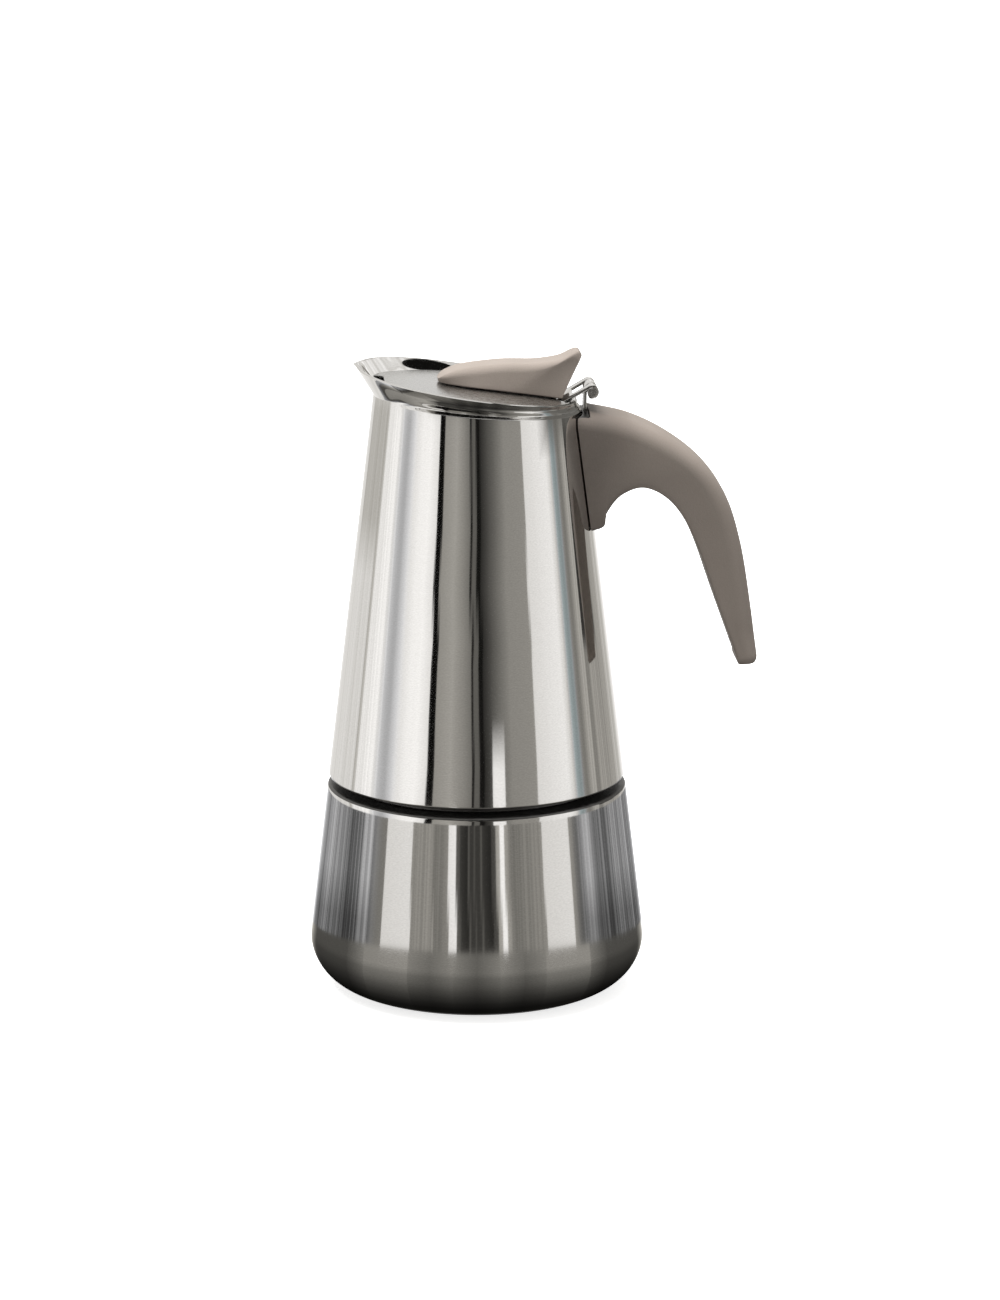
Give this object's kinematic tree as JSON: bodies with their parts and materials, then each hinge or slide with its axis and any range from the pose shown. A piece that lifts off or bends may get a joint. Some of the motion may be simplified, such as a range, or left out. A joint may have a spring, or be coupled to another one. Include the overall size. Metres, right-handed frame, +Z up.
{
  "type": "moka pot",
  "caption": "Stainless stove-top coffee maker: conical boiler and jug screwed together, hinged lid with wave-shaped knob, curved open handle.",
  "frame": {"origin": "centre of the flat base, on the pot's axis", "axes": "+Z up along the pot's axis, +X towards the handle, -X towards the spout, +Y towards the safety valve's side"},
  "size_m": [0.1332, 0.1062, 0.1918],
  "materials": {
    "polished_steel": "polished stainless steel with a fine drawn grain",
    "satin_steel": "satin stainless steel",
    "taupe_plastic": "matte warm grey-brown moulded plastic",
    "seal_silicone": "off-white silicone",
    "valve_brass": "turned brass"
  },
  "bodies": {
    "boiler": {"boiler_body": "polished_steel", "valve_body": "valve_brass", "valve_washer": "seal_silicone", "valve_nut": "valve_brass", "valve_retainer": "valve_brass", "valve_spring": "satin_steel"},
    "relief_poppet": {"valve_poppet": "valve_brass"},
    "funnel": {"funnel_cup": "satin_steel", "funnel_stem": "satin_steel", "funnel_filter_plate": "satin_steel"},
    "seal": {"gasket": "seal_silicone"},
    "upper_filter": {"upper_filter_plate": "satin_steel"},
    "jug": {"jug_body": "polished_steel", "jug_thread_ring": "satin_steel", "jug_floor": "satin_steel", "riser_tube": "satin_steel", "riser_cap": "satin_steel", "handle": "taupe_plastic", "handle_bracket": "satin_steel", "handle_screw": "satin_steel", "hinge_strap": "polished_steel", "hinge_pin": "satin_steel"},
    "lid": {"lid_plate": "polished_steel", "lid_hinge_leaf": "polished_steel", "knob": "taupe_plastic", "knob_screw_front": "satin_steel", "knob_screw_rear": "satin_steel"}
  },
  "joints": [
    {"name": "funnel_lift_out", "type": "slide", "parent": "boiler", "child": "funnel", "axis": [0, 0, 1], "range_m": [0, 0.09]},
    {"name": "jug_lift_off", "type": "slide", "parent": "funnel", "child": "seal", "axis": [0, 0, 1], "range_m": [0, 0.08]},
    {"name": "jug_thread_rise", "type": "slide", "parent": "seal", "child": "upper_filter", "axis": [0, 0, 1], "range_m": [0, 0.0061]},
    {"name": "jug_turn", "type": "hinge", "parent": "upper_filter", "child": "jug", "pos_m": [0, 0, 0.07], "axis": [0, 0, 1], "range_deg": [0, 720]},
    {"name": "lid_hinge", "type": "hinge", "parent": "jug", "child": "lid", "pos_m": [0.0335, 0, 0.1803], "axis": [0, 1, 0], "range_deg": [0, 110]},
    {"name": "safety_valve_poppet", "type": "slide", "parent": "boiler", "child": "relief_poppet", "axis": [0, 0.9927, 0.1203], "range_m": [0, 0.0015], "stiffness_N_per_m": 1500, "springref_m": -0.002, "deforming": ["valve_spring"]}
  ],
  "couplings": [
    {"joint": "jug_thread_rise", "follows": "jug_turn", "m_per_rad": 0.00047746}
  ]
}
